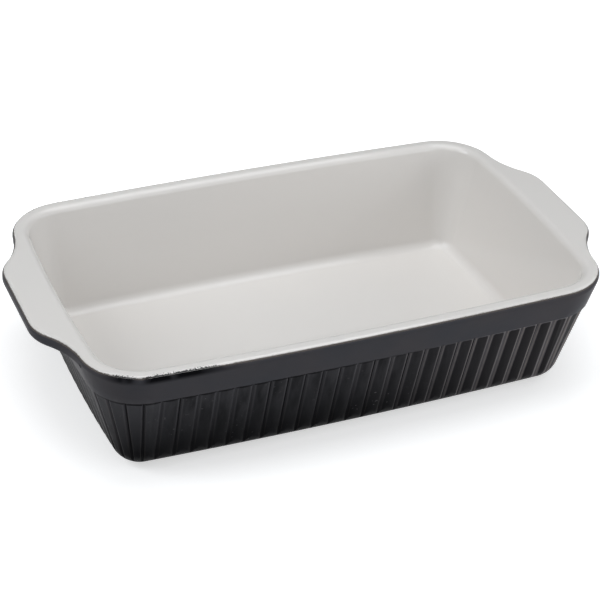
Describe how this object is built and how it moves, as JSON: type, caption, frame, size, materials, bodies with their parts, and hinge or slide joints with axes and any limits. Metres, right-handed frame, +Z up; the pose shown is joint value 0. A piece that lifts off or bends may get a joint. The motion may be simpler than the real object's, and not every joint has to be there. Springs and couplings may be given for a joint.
{
  "type": "baking dish",
  "caption": "Rectangular stoneware baking dish with bowed sides, a plain rim band over fluted walls, rounded corners and a flat lug at each end.",
  "frame": {"origin": "middle of the dish on the table plane, under the foot ring", "axes": "+X along the dish towards one lug, +Y across it, +Z up"},
  "size_m": [0.344, 0.1984, 0.077],
  "materials": {
    "clay": "unglazed fired stoneware, matt, seen only on the foot ring",
    "cream_glaze": "smooth warm off-white glaze with a soft gloss",
    "charcoal_glaze": "satin charcoal glaze that breaks to grey brown on the groove lips and edges",
    "base_glaze": "satin charcoal glaze"
  },
  "bodies": {
    "root": {"stoneware_body": "clay", "cream_lining_glaze": "cream_glaze", "charcoal_outer_glaze": "charcoal_glaze", "base_glaze": "base_glaze"}
  },
  "joints": []
}
